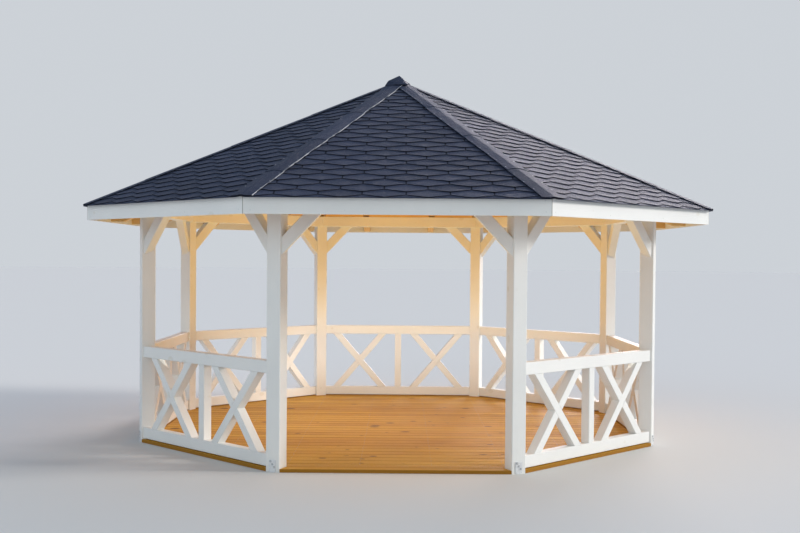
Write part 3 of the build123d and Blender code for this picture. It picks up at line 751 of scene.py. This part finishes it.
strips, nails = Pile(), Pile()
for hip, (name, az) in enumerate(POSTS):
    r = random.Random(300 + hip)
    e, p = axes(az)
    if name == "front_right":
        laps = [0.84, 1.63, 2.42]
    elif name == "front_left":
        laps = [1.02, 1.76, 2.50]
    else:
        o = r.uniform(-0.08, 0.08)
        laps = [0.88 + o, 1.66 + o, 2.44 + o]
    wave = [(r.uniform(0.0010, 0.0022), r.uniform(3, 9), r.uniform(0, 6.28)) for _ in range(6)]

    def edge(side, rr, piece):
        w = sum(a * math.sin(f * rr + q) for a, f, q in (wave[:3] if side > 0 else wave[3:]))
        w += [0.0, 0.0030, -0.0025, 0.0018][(piece + (2 if side > 0 else 0)) % 4]
        if name == "front_left" and side > 0:
            w += 0.008 - 0.016 * (rr - 0.25) / 2.7
        return CAP_W - 0.001 + w

    last = name == "front_left"

    def top_z(rr, t):
        z = ROOF_TOP - SLOPE * (rr * COS + soft_abs(t) * SIN) + 0.0017
        if last and t > 0:
            over = t - rr * TAN
            if over > -0.03:
                # past the middle of the facet it lies on the strip of the next hip
                a2, b2 = axes(POSTS[1][1])
                q = e * rr + p * t
                z2 = ROOF_TOP - SLOPE * (q.dot(a2) * COS + soft_abs(q.dot(b2)) * SIN) + 0.0017
                f_ = min(1.0, max(0.0, (over + 0.03) / 0.04))
                z = (z if over < 0 else min(z, z2)) + 0.0052 * f_ * f_ * (3 - 2 * f_)
        return z

    cuts = [0.05] + laps + [None]
    for q in range(len(cuts) - 1):
        r0 = cuts[q] - (0.10 if q else 0.0)
        r1 = cuts[q + 1]
        rows = 2 + int(((r1 or 3.01) - r0) / 0.035)
        prof = [-1.0, -0.86, -0.6, -0.34, -0.16, -0.07, 0.0, 0.07, 0.16, 0.34, 0.6, 0.86, 1.0]
        tone = min(1, max(0, 0.33 + r.gauss(0, 0.10)))
        verts, faces, mats = [], [], []
        m = len(prof)
        grid = []
        for i in range(rows + 1):
            f = i / rows
            line = []
            for x in prof:
                def at(rr):
                    w = edge(1 if x > 0 else -1, rr, q)
                    if not (last and x > 0):
                        w = min(w, rr * TAN + 0.004)
                    return x * w
                end = r1 if r1 is not None else min(TIP_R, (AE - 0.0012 - abs(at(2.96)) * SIN) / COS)
                rr = r0 + (end - r0) * f
                t = at(rr)
                raise_ = (0.0034 * f if r1 is not None else 0.0008 * f) + 0.0004
                ripple = 0.0006 * math.sin(2 * math.pi * rr / (COURSE * CPHI) + hip) * min(1, abs(t) / 0.05)
                zt = top_z(rr, t) + 0.0030 + raise_ * (1.0 if q < len(cuts) - 2 else 0.5) + ripple
                thick = 0.0052 if abs(x) > 0.8 else 0.0044
                line.append((rr, t, zt, thick))
            grid.append(line)
        layers = [("top", 0.0, 0.0), ("edge", 0.0009, 0.0013), ("low", 0.0009, None)]
        idx = {}
        for layer, inx, dn in layers:
            for i in range(rows + 1):
                for k in range(m):
                    rr, t, zt, th = grid[i][k]
                    out = 1.0
                    if layer == "top" and k in (0, m - 1):
                        t -= 0.0009 * (1 if t > 0 else -1)
                    if layer == "top" and i == rows:
                        rr -= 0.0009
                    z = zt if layer == "top" else (zt - 0.0013 if layer == "edge" else zt - th)
                    idx[layer, i, k] = len(verts)
                    pt = e * rr + p * t + Vector((0, 0, z))
                    verts.append(tuple(pt))
        def quad(a, b, c, d, mt):
            faces.append([a, b, c, d])
            mats.append(mt)
        pale = name == "front_left"
        for i in range(rows):
            for k in range(m - 1):
                quad(idx["top", i, k], idx["top", i + 1, k], idx["top", i + 1, k + 1], idx["top", i, k + 1], 0)
                quad(idx["low", i, k], idx["low", i, k + 1], idx["low", i + 1, k + 1], idx["low", i + 1, k], 1)
            for k, fl in ((0, False), (m - 1, True)):
                for a_, b_, mt in (("top", "edge", 0), ("edge", "low", 1)):
                    qd = [idx[a_, i, k], idx[b_, i, k], idx[b_, i + 1, k], idx[a_, i + 1, k]]
                    faces.append(qd if not fl else qd[::-1])
                    mats.append(mt)
        for i, fl in ((0, True), (rows, False)):
            for k in range(m - 1):
                for a_, b_ in (("top", "edge"), ("edge", "low")):
                    qd = [idx[a_, i, k], idx[b_, i, k], idx[b_, i, k + 1], idx[a_, i, k + 1]]
                    faces.append(qd if not fl else qd[::-1])
                    mats.append(1)
        strips.add(verts, faces, verts, tone, mats=mats)
        # a pale bead along the front left hip: a painted highlight on the strip's lit edge
        if pale:
            bv, bf = [], []
            n_ = rows * 2
            for i in range(n_ + 1):
                f = i / n_
                end = r1 if r1 is not None else (AE - 0.0020 - 0.088 * SIN) / COS
                rr = r0 + (end - r0) * f
                if rr < 0.075:
                    rr = 0.075
                w = edge(1, rr, q)
                zt = top_z(rr, w) + 0.0030 + 0.0004 + (0.0034 * f if r1 is not None else 0.0008 * f)
                wob = 0.0018 * math.sin(17 * rr + 1.3) + 0.0010 * math.sin(43 * rr) + (0.0030 if 0.56 < rr < 0.74 else 0.0)
                hw = 0.0019 + 0.0005 * math.sin(19 * rr) + 0.0004 * math.sin(53 * rr + 2)
                for dt, dz in ((-hw, -0.0006), (-hw * 0.8, 0.0010), (-0.0008, 0.0016), (hw * 0.75, 0.0009), (hw, -0.0008), (hw, -0.0058), (-hw, -0.0058)):
                    t = w + wob + dt - 0.0015
                    bv.append(tuple(e * rr + p * t + Vector((0, 0, zt + dz))))
            c7 = 7
            for i in range(n_):
                for k in range(c7):
                    j = (k + 1) % c7
                    bf.append([i * c7 + k, (i + 1) * c7 + k, (i + 1) * c7 + j, i * c7 + j])
            bf.append(list(range(c7)))
            bf.append([n_ * c7 + k for k in range(c7)][::-1])
            strips.add(bv, bf, bv, 0.8, mat=2)
    # clout nails along both edges
    for side in (1, -1):
        rr = 0.27 + (0.0 if side > 0 else 0.0)
        while rr < 2.935:
            q = sum(rr > l for l in laps)
            w = edge(side, rr, q) - (0.0115 if not (name == "front_left" and side > 0) else 0.0125)
            t = side * w + r.uniform(-0.0015, 0.0015)
            if abs(t) < rr * TAN - 0.01 and not any(0.0 < l - rr < 0.012 for l in laps):
                nrm = Vector((0, 0, 1)) + SLOPE * (e * COS + p * (SIN * side))
                nrm.normalize()
                frac = (rr - ([0.05] + laps)[q]) / 0.8
                zt = top_z(rr, t) + 0.0030 + 0.0034 * max(0, min(1.0, frac)) * (1.0 if q < 3 else 0.2) + 0.0004
                o = e * rr + p * t + Vector((0, 0, zt))
                x = nrm.orthogonal().normalized()
                y = nrm.cross(x)
                lathe(nails, [(0.0040, -0.0015), (0.0040, 0.0004), (0.0034, 0.0009), (0.0018, 0.0011)],
                      lambda a, b, c, o=o, x=x, y=y, nrm=nrm: o + x * a + y * b + nrm * c, 10)
            rr += 0.15 + r.uniform(-0.006, 0.006)


def tidy(me):
    bm = bmesh.new()
    bm.from_mesh(me)
    bmesh.ops.remove_doubles(bm, verts=bm.verts[:], dist=1e-6)
    bmesh.ops.recalc_face_normals(bm, faces=bm.faces[:])
    bm.to_mesh(me)
    bm.free()
    return me


strip_ob = strips.make("hip_strips", [GRIT, BLACK_CUT_AND_SHADE, EDGE_HIGHLIGHT], ["hip_caps"], "bitumen_shingle", tidy)
nail_ob = nails.make("hip_nails", [DULL], (), "zinc_plate", tidy)

# ---- folded hood over the point ------------------------------------------------------------
hood = Pile()
HEM = [(0.166, 3.3555), (0.208, 3.353), (0.096, 3.389), (0.120, 3.383), (0.168, 3.359), (0.172, 3.357), (0.158, 3.362), (0.154, 3.361)]
BEND = [0.006, 0.0, 0.0, 0.0, 0.004, 0.010, 0.022, 0.024]    # how far each corner bulges before it turns down
rim = [Vector((q * math.cos(math.radians(d)), q * math.sin(math.radians(d)), z)) for (q, z), (_, d) in zip(HEM, POSTS)]
tip = Vector((0, 0, APEX_TOP))
RINGS, SIDES = 9, 6


def sheet(scale, thick, rough, tone, mats_up, mats_low, edge_mat):
    """A folded sheet from the tip to its rim: softly rounded folds and a slightly uneven hem."""
    r = random.Random(77)
    ripple = [(r.uniform(0.5, 1.0), r.randint(2, 5), r.uniform(0, 6.28)) for _ in range(3)]
    cols, bend = [], []
    for k in range(N):
        a_, b_ = rim[k], rim[(k + 1) % N]
        for j in range(SIDES):
            cols.append(a_.lerp(b_, j / SIDES))
            bend.append(BEND[k] + (BEND[(k + 1) % N] - BEND[k]) * j / SIDES)
    soft = []
    for i, c in enumerate(cols):
        n_ = (cols[i - 1] + cols[(i + 1) % len(cols)]) / 2
        soft.append(c.lerp(n_, 0.35) if i % SIDES == 0 else c.copy())
    v, f, mt = [], [], []
    for low in (0.0, thick):
        v.append(tuple(tip - Vector((0, 0, 0.0012 + low + (1 - scale) * 0.004))))
        for i in range(1, RINGS + 1):
            for q, c in enumerate(soft):
                w = i / RINGS
                pt = tip.lerp(c, w * scale)
                pt.z += bend[q] * min(w / 0.78, (1 - w) / 0.22)
                ang = math.atan2(c.y, c.x)
                dz = sum(m_ * math.sin(k_ * ang + o_) for m_, k_, o_ in ripple) * rough * w * w
                edge_out = 1.0 + 0.010 * math.sin(5 * ang + 1.0) * w if i == RINGS else 1.0
                v.append((pt.x * edge_out * 0.995, pt.y * edge_out * 0.995, pt.z + dz - low - 0.0006))
    m = len(soft)
    off = 1 + RINGS * m
    for base, flip, ml in ((0, False, mats_up), (off, True, mats_low)):
        for q in range(m):
            j = (q + 1) % m
            quads = [[base, base + 1 + q, base + 1 + j]]
            quads += [[base + 1 + i * m + q, base + 1 + (i + 1) * m + q, base + 1 + (i + 1) * m + j, base + 1 + i * m + j] for i in range(RINGS - 1)]
            for x in quads:
                f.append(x[::-1] if flip else x)
                mt.append(ml)
    o_ = 1 + (RINGS - 1) * m
    for q in range(m):
        j = (q + 1) % m
        f.append([o_ + q, off + o_ + q, off + o_ + j, o_ + j])
        mt.append(edge_mat)
    hood.add(v, f, v, tone, mats=mt)


sheet(1.0, 0.0045, 0.0012, 0.16, 0, 1, 0)
# the layers under the hood: close to its hem, but set back under the open front right corner; their black faces are
# painted shade under the hood
back = [0.955, 0.70, 0.90, 0.955, 0.955, 0.955, 0.955, 0.955]
low_v = [tuple(tip - Vector((0, 0, 0.012)))]
for c, k in zip(rim, back):
    low_v.append((c.x * k, c.y * k, APEX_TOP - (APEX_TOP - c.z) * k - 0.0062))
for c, k in zip(rim, back):
    q = math.hypot(c.x, c.y) * k
    low_v.append((c.x * (k + 0.01), c.y * (k + 0.01), ROOF_TOP - HIP_SLOPE * q + 0.001))
low_v.append((0, 0, ROOF_TOP + 0.002))
low_f = [[0, 1 + k, 1 + (k + 1) % N] for k in range(N)]
low_f += [[1 + k, 9 + k, 9 + (k + 1) % N, 1 + (k + 1) % N] for k in range(N)]
low_f += [[17, 9 + (k + 1) % N, 9 + k] for k in range(N)]
# black on the tops, on the two sides under the open front right corner and underneath, with the darkest granule tone on
# the other sides: painted shade under the hood
dark = [1] * N + [1, 1] + [0] * (N - 3) + [0] + [1] * N
hood.add(low_v, low_f, low_v, 0.06, mats=dark)
hood_ob = hood.make("apex_hood", [GRIT, BLACK_CUT_AND_SHADE], ["apex_cap"], "bitumen_shingle", tidy)

# ---- roof boards, seen from below ---------------------------------------------------------------
boards = Pile()
COVER, BT = 0.096, BOARDING * CPHI
for bay, (name, az) in enumerate(BAYS):
    r = random.Random(500 + bay)
    put = facet(az, Z_BOARD, AI)
    length = AI / CPHI
    s = 0.0
    while s < length - 0.02:
        s1 = min(s + COVER, length)
        h0, h1 = (length - s) * CPHI * TAN - 0.0003, (length - s1) * CPHI * TAN - 0.0003
        h1 = max(h1, 0.0005)
        poly = [(-h0, s), (h0, s), (h1, s1), (-h1, s1)]
        off = (r.uniform(0, 40), r.uniform(0, 9), r.uniform(0, 9))
        bow = r.uniform(-0.0003, 0.0003)
        prism(boards, poly, -BT + 0.0003 + bow, -0.0004, put, low=0.0032, steps=2, tone=r.random(),
              grain=lambda u, v, n, off=off, s=s: (u + off[0], v - s + off[1], n + off[2]))
        s = s1 + 0.0004
boards.make("ceiling_boards", [SPRUCE["boards"]], ["roof_boarding"], "ceiling_timber", tidy)

# ---- deck: a board round the edge and long boards inside it --------------------------------------
deck = Pile()
EDGE_W, DECK_PITCH, DECK_GAP = 0.096, 0.1397, 0.0044
flat = lambda x, y, z: (x, y, z)
r = random.Random(700)
for bay, (name, az) in enumerate(BAYS):
    e, p = axes(az)
    a0, a1 = DECK_A - EDGE_W, DECK_A - 0.0004
    poly = [(a0, -a0 * TAN + 0.001), (a1, -a1 * TAN + 0.001), (a1, a1 * TAN - 0.001), (a0, a0 * TAN - 0.001)]
    put = lambda a, t, z, e=e, p=p: e * a + p * t + Vector((0, 0, z))
    off = (r.uniform(0, 40), r.uniform(0, 9), r.uniform(0, 9))
    prism(deck, poly, 0.0, DECK_T - 0.0003, put, top=0.0035, low=0.001, steps=3, side=1, tone=r.uniform(0.75, 1.0),
          grain=lambda a, t, z, off=off: (t + off[0], a + off[1], z + off[2]))
IN = DECK_A - EDGE_W - DECK_GAP
y = -IN
row = 0
while y < IN - 0.01:
    y1 = min(y + DECK_PITCH - DECK_GAP, IN)
    poly = [(-3, y), (3, y), (3, y1), (-3, y1)]
    for _, az in BAYS:
        e, _p = axes(az)
        if abs(e.x) > 1e-6:
            poly = clip(poly, e.x, e.y, IN)
        if len(poly) < 3:
            break
    if len(poly) >= 3:
        off = (r.uniform(0, 40), r.uniform(0, 9), r.uniform(0, 9))
        prism(deck, poly, 0.0, DECK_T - 0.0006 + r.uniform(-0.0004, 0.0003), flat, top=0.0034, steps=3, side=1, tone=r.random(),
              grain=lambda x, yy, z, off=off, y=y: (x + off[0], yy - y + off[1], z + off[2]))
    y += DECK_PITCH
    row += 1


def cut_posts(me):
    """Cuts the deck round the posts."""
    ob = bpy.data.objects.new("deck_uncut", me)
    bpy.context.scene.collection.objects.link(ob)
    tool = Pile()
    for _, az in POSTS:
        e, p = axes(az)
        h = POST / 2 + 0.002
        put = lambda a, t, z, e=e, p=p: e * a + p * t + Vector((0, 0, z))
        prism(tool, [(POST_R - h, -h), (POST_R + 0.4, -h), (POST_R + 0.4, h), (POST_R - h, h)], -0.02, 0.06, put)
    tm = tidy(tool.mesh("deck_cutter"))
    to = bpy.data.objects.new("deck_cutter", tm)
    bpy.context.scene.collection.objects.link(to)
    mod = ob.modifiers.new("cut", "BOOLEAN")
    mod.operation, mod.solver, mod.object = "DIFFERENCE", "EXACT", to
    dg = bpy.context.evaluated_depsgraph_get()
    new = bpy.data.meshes.new_from_object(ob.evaluated_get(dg))
    bpy.data.objects.remove(ob)
    bpy.data.objects.remove(to)
    bpy.data.meshes.remove(tm)
    return new


# the boards' sides and rounded edges take the second, darker material: painted shade
DECK, DECK_SIDE_SHADE = decking(), deck_sides_painted_shade()
deck_ob = deck.make("deck_boards", [DECK, DECK_SIDE_SHADE], ["deck"], "deck_timber", lambda me: cut_posts(tidy(me)))

# countersunk screws, two to a board at every bearer
pins = Pile()
y = -IN
row = 0
r = random.Random(701)
while y < IN - 0.03:
    y1 = min(y + DECK_PITCH - DECK_GAP, IN)
    for b in range(-5, 5):
        x = (b + 0.5) * 0.57
        for yy in ((y + 0.024, y1 - 0.024) if y1 - y > 0.08 else ((y + y1) / 2,)):
            inside = all(axes(az)[0].x * x + axes(az)[0].y * yy < IN - 0.03 for _, az in BAYS)
            clear = all((Vector((x, yy, 0)) - axes(az)[0] * POST_R).length > 0.13 for _, az in POSTS)
            if inside and clear:
                o = Vector((x + r.uniform(-0.002, 0.002), yy + r.uniform(-0.002, 0.002), DECK_T - 0.0012))
                lathe(pins, [(0.0036, -0.001), (0.0038, 0.0008), (0.0031, 0.0011), (0.0014, 0.0010), (0.0011, 0.0001)],
                      lambda a, b_, c, o=o: o + Vector((a, b_, c)), 8)
    y += DECK_PITCH
    row += 1
pins.make("deck_screws", [DULL], (), "zinc_plate", tidy)

# ---- coach screws in the foot plates, nails in the fascia ---------------------------------------
coach = Pile()
for hip, (name, az) in enumerate(POSTS):
    e, p = axes(az)
    x0 = POST_R + POST / 2 + 0.005
    r = random.Random(800 + hip)
    # seen from outside they step down from the left to the right
    for side, z in ((-0.016, 0.084), (0.0, 0.062), (0.016, 0.040)):
        o = e * x0 + p * side + Vector((0, 0, z))
        put = lambda a, b, c, o=o, e=e, p=p: o + p * a + Vector((0, 0, b)) + e * c
        lathe(coach, [(0.0098, -0.001), (0.0098, 0.0010), (0.0092, 0.0016), (0.006, 0.0017)], put, 20)
        lathe(coach, [(0.0069, 0.0012), (0.0069, 0.0046), (0.0062, 0.0055), (0.0040, 0.0060)], put, 6, turn=r.uniform(0, 1))
coach.make("foot_screws", [SCREW], (), "zinc_plate", tidy)

dots = Pile()
for bay, (name, az) in enumerate(BAYS):
    e, p = axes(az)
    r = random.Random(900 + bay)
    ztop = Z_BOARD - SLOPE * FASCIA_A
    for t in (-1.09, -0.39, 0.39, 1.09):
        for z in (FASCIA_Z0 + 0.030, ztop - 0.026):
            o = e * (FASCIA_A - 0.0012) + p * (t + r.uniform(-0.012, 0.012)) + Vector((0, 0, z + r.uniform(-0.004, 0.004)))
            put = lambda a, b, c, o=o, e=e, p=p: o + p * a + Vector((0, 0, b)) + e * c
            lathe(dots, [(0.0030, -0.002), (0.0030, 0.0014), (0.0024, 0.0018), (0.0012, 0.0019)], put, 10)
dots.make("fascia_nails", [SCREW], (), "zinc_plate", tidy)

# ---- floor, light and camera -------------------------------------------------------------------------
bm = bmesh.new()
rim_v = [bm.verts.new((160 * math.cos(2 * math.pi * k / 128), 160 * math.sin(2 * math.pi * k / 128), 0)) for k in range(128)]
bm.faces.new(rim_v)
fm = bpy.data.meshes.new("studio_floor")
bm.to_mesh(fm)
bm.free()
floor = bpy.data.objects.new("studio_floor", fm)
fm.materials.append(studio_floor())
bpy.context.scene.collection.objects.link(floor)

world = bpy.data.worlds.new("studio")
bpy.context.scene.world = world
world.use_nodes = True
wt = world.node_tree
bg = wt.nodes["Background"]
tc, sp, mr, mx = (wt.nodes.new("ShaderNode" + k) for k in ("TexCoord", "SeparateXYZ", "MapRange", "Mix"))
mx.data_type = "RGBA"
wt.links.new(tc.outputs["Generated"], sp.inputs[0])
wt.links.new(sp.outputs[2], mr.inputs[0])
mr.inputs["From Min"].default_value, mr.inputs["From Max"].default_value = 0.0, 0.7
mr.interpolation_type = "SMOOTHSTEP"
wt.links.new(mr.outputs[0], mx.inputs[0])
HORIZON = (0.610, 0.640, 0.665)
mr.inputs["From Min"].default_value, mr.inputs["From Max"].default_value = 0.24, 0.60
mx.inputs[6].default_value = (*HORIZON, 1)
mr3, mx3 = wt.nodes.new("ShaderNodeMapRange"), wt.nodes.new("ShaderNodeMix")
mx3.data_type, mr3.interpolation_type = "RGBA", "SMOOTHSTEP"
wt.links.new(sp.outputs[0], mr3.inputs[0])
mr3.inputs["From Min"].default_value, mr3.inputs["From Max"].default_value = -0.5, 0.5
wt.links.new(mr3.outputs[0], mx3.inputs[0])
mx3.inputs[6].default_value, mx3.inputs[7].default_value = (0.09, 0.19, 0.40, 1), (0.54, 0.63, 0.79, 1)
wt.links.new(mx3.outputs[2], mx.inputs[7])
mr2, mx2 = wt.nodes.new("ShaderNodeMapRange"), wt.nodes.new("ShaderNodeMix")
mx2.data_type, mr2.interpolation_type = "RGBA", "SMOOTHSTEP"
wt.links.new(sp.outputs[1], mr2.inputs[0])
mr2.inputs["From Min"].default_value, mr2.inputs["From Max"].default_value = 0.45, -0.8
wt.links.new(mr2.outputs[0], mx2.inputs[0])
wt.links.new(mx.outputs[2], mx2.inputs[6])
mx2.inputs[7].default_value = (0.41, 0.46, 0.485, 1)
# the camera sees one even tone behind the floor, whichever way it looks
lp, mx4 = wt.nodes.new("ShaderNodeLightPath"), wt.nodes.new("ShaderNodeMix")
mx4.data_type = "RGBA"
wt.links.new(lp.outputs["Is Camera Ray"], mx4.inputs[0])
wt.links.new(mx2.outputs[2], mx4.inputs[6])
mx4.inputs[7].default_value = (0.607, 0.641, 0.682, 1)
wt.links.new(mx4.outputs[2], bg.inputs[0])


def sun(name, az, el, strength, colour, spread):
    d = bpy.data.lights.new(name, "SUN")
    d.energy, d.color, d.angle = strength, colour, math.radians(spread)
    o = bpy.data.objects.new(name, d)
    a, b = math.radians(az), math.radians(el)
    way = Vector((math.cos(a) * math.cos(b), math.sin(a) * math.cos(b), math.sin(b)))
    o.rotation_euler = way.to_track_quat("Z", "Y").to_euler()
    bpy.context.scene.collection.objects.link(o)


sun("key", -1.5, 21.0, 2.34, (1.0, 0.955, 0.90), 14.0)
sun("rim", 70.0, 24.0, 1.6, (1.0, 0.91, 0.93), 24.0)
sun("fill", -100.0, 15.0, 0.36, (1.0, 0.99, 0.95), 45.0)
sun("cool", -152.0, 22.0, 0.30, (0.72, 0.88, 1.0), 50.0)
lift = bpy.data.lights.new("lift", "AREA")
lift.shape, lift.size, lift.energy, lift.color = "DISK", 3.2, 45.0, (1.0, 0.65, 0.09)
lift_ob = bpy.data.objects.new("lift", lift)
lift_ob.location, lift_ob.rotation_euler = (0, 0, 0.70), (math.pi, 0, 0)
lift_ob.visible_camera = False
bpy.context.scene.collection.objects.link(lift_ob)
# a low, narrow beam across the room, on the inner faces of the back railings
low = bpy.data.lights.new("low", "AREA")
low.shape, low.size, low.size_y, low.energy, low.color = "RECTANGLE", 4.2, 0.6, 6.6, (0.94, 0.95, 0.88)
low.spread = math.radians(35.0)
low_ob = bpy.data.objects.new("low", low)
low_ob.location, low_ob.rotation_euler = (0, -1.15, 0.66), (math.pi / 2, 0, 0)
low_ob.visible_camera = False
bpy.context.scene.collection.objects.link(low_ob)

FOCAL, CY = 1079.0463, 280.6029
yaw, pitch, roll = -0.0011, -0.0203, 0.0077
fwd = Vector((math.sin(yaw) * math.cos(pitch), math.cos(yaw) * math.cos(pitch), math.sin(pitch)))
right = Vector((math.cos(yaw), -math.sin(yaw), 0.0))
up = right.cross(fwd)
r2 = right * math.cos(roll) + up * math.sin(roll)
u2 = -right * math.sin(roll) + up * math.cos(roll)
cd = bpy.data.cameras.new("camera")
cd.sensor_width, cd.lens = 36.0, FOCAL / 800 * 36.0
cd.shift_y = (CY - 266.5) / 800
cd.clip_start, cd.clip_end = 0.1, 300.0
cam = bpy.data.objects.new("camera", cd)
cam.matrix_world = Matrix(((r2.x, u2.x, -fwd.x, 0.0325), (r2.y, u2.y, -fwd.y, -10.6604), (r2.z, u2.z, -fwd.z, 1.6646), (0, 0, 0, 1)))
bpy.context.scene.collection.objects.link(cam)
bpy.context.scene.camera = cam
bpy.context.scene.view_settings.view_transform = "Standard"
bpy.context.scene.view_settings.look = "None"
